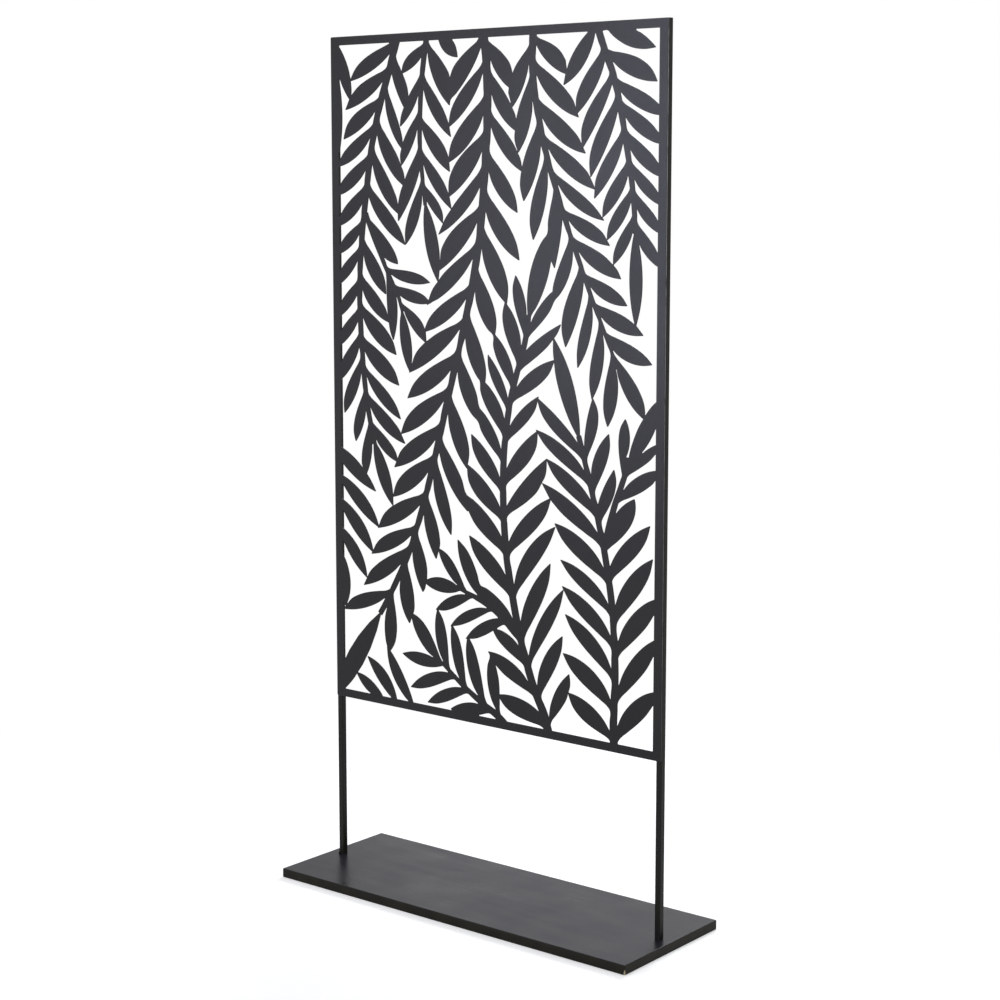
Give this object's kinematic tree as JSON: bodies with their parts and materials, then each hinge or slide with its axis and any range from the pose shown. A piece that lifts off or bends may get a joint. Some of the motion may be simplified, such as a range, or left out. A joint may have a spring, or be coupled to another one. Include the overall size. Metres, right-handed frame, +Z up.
{
  "type": "room divider screen",
  "caption": "Free-standing room divider: a flat laser cut steel sheet of leafy branches on two slim square uprights and a low folded steel base.",
  "frame": {"origin": "on the floor under the middle of the base", "axes": "+X along the panel, +Z up, the cut sheet faces -Y"},
  "size_m": [0.91, 0.32, 1.8],
  "materials": {
    "panel_paint": "satin charcoal powder coat",
    "frame_paint": "satin charcoal powder coat",
    "base_paint": "satin grey powder coat",
    "zinc_plate": "bright zinc plate",
    "black_rubber": "matt moulded rubber"
  },
  "bodies": {
    "root": {"leaf_panel": "panel_paint", "post_left": "frame_paint", "post_right": "frame_paint", "top_rail": "frame_paint", "bottom_rail": "frame_paint", "base_pan": "base_paint", "stiffener_left": "frame_paint", "stiffener_right": "frame_paint", "post_plugs": "zinc_plate", "post_bolts": "zinc_plate", "flat_washers": "zinc_plate", "spring_washers": "zinc_plate", "foot_studs": "zinc_plate", "rubber_feet": "black_rubber"}
  },
  "joints": []
}
